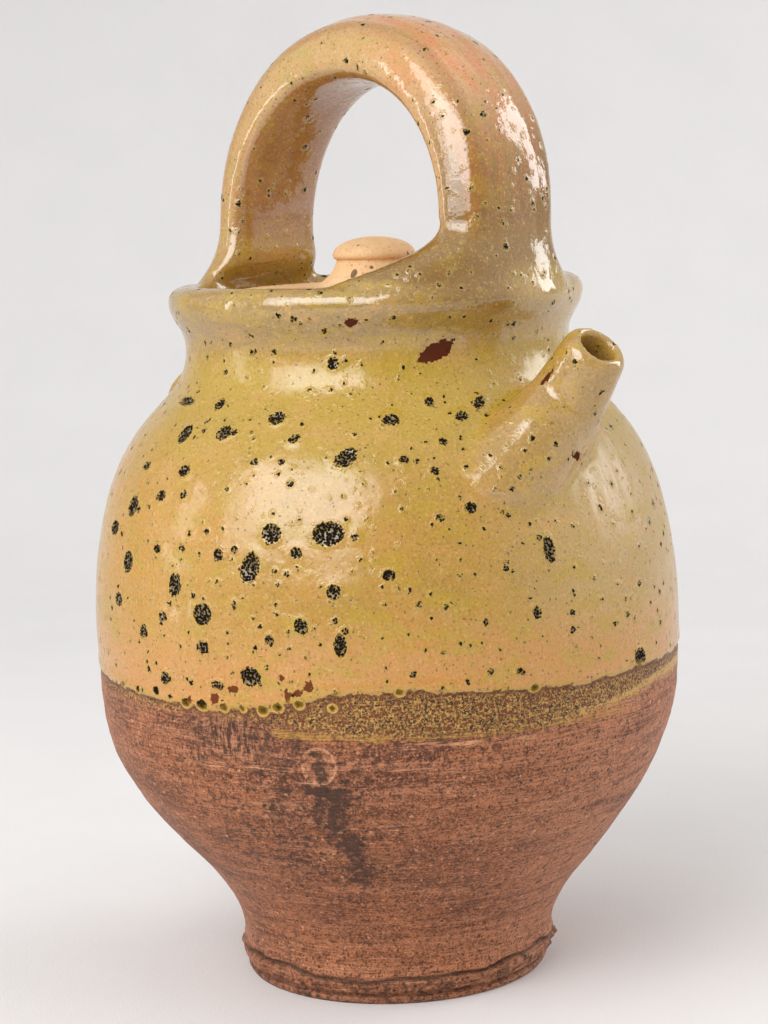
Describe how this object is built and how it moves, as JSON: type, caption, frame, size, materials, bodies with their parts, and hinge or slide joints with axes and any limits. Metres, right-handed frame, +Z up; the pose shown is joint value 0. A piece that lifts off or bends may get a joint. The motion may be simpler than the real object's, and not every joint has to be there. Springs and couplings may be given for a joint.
{
  "type": "lidded pitcher",
  "caption": "Round-bellied lidded water jug with a basket handle over the mouth, a short tube spout, a small rear ear and a loose lid with a knob, half glazed.",
  "frame": {"origin": "centre of the foot's flat underside", "axes": "+Z up along the axis that the jug was turned on, +X towards the spout, +Y to the side that the handle leans to"},
  "size_m": [0.1834, 0.174, 0.2818],
  "materials": {
    "ochre_glaze": "glossy ochre glaze with iron spots over red clay, bare below the belly",
    "handle_glaze": "glossy peach and olive ochre glaze",
    "spout_glaze": "glossy pale ochre glaze",
    "ear_glaze": "glossy ochre glaze",
    "lid_clay": "bare pale clay, matt",
    "knob_clay": "bare pale clay, matt, lightly speckled"
  },
  "bodies": {
    "jug": {"jug_body": "ochre_glaze", "basket_handle": "handle_glaze", "spout": "spout_glaze", "rear_ear": "ear_glaze"},
    "lid": {"lid": "lid_clay", "lid_knob": "knob_clay"}
  },
  "joints": [
    {"name": "lid_lift", "type": "slide", "parent": "jug", "child": "lid", "axis": [0, 0, 1], "range_m": [0, 0.025]}
  ]
}
